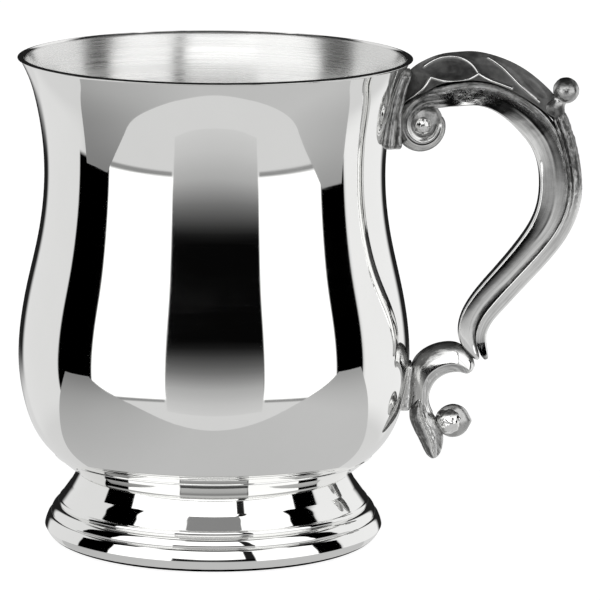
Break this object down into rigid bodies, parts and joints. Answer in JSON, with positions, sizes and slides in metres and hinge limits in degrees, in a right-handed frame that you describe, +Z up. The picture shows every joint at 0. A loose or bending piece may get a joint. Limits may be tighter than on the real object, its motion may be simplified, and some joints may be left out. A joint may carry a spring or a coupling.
{
  "type": "pewter tankard",
  "caption": "Bell-shaped pewter tankard without a lid: flared lip, waisted body, full belly, stepped hollow foot and a cast double-scroll handle with a leaf cap and thumb ball.",
  "frame": {"origin": "middle of the whole tankard's bounding box, on the surface that the foot rests on", "axes": "+Z up along the bowl's axis, +X from the bowl towards the handle, +Y to the left of a person who looks along +X"},
  "size_m": [0.1371, 0.0956, 0.1204],
  "materials": {
    "polished_pewter": "mirror-polished pewter outside, satin with fine turned lines inside the bowl",
    "solder": "wiped soft solder, buffed",
    "cast_pewter": "cast pewter, buffed on the high places, dull and pitted in the hollows",
    "dark_leaf": "cast pewter with a dark toned ground and bright rubbed ribs"
  },
  "bodies": {
    "root": {"bowl": "polished_pewter", "neck_collar": "polished_pewter", "neck_solder_fillet": "solder", "foot": "polished_pewter", "handle_main_scroll": "cast_pewter", "handle_spine": "cast_pewter", "handle_leaf_cap": "dark_leaf", "thumb_ball": "cast_pewter", "volute_boss_front": "cast_pewter", "volute_boss_rear": "cast_pewter", "upper_pad": "cast_pewter", "lower_pad": "cast_pewter", "lower_scroll": "cast_pewter", "lower_scroll_ball": "cast_pewter", "tail_drop": "cast_pewter"}
  },
  "joints": []
}
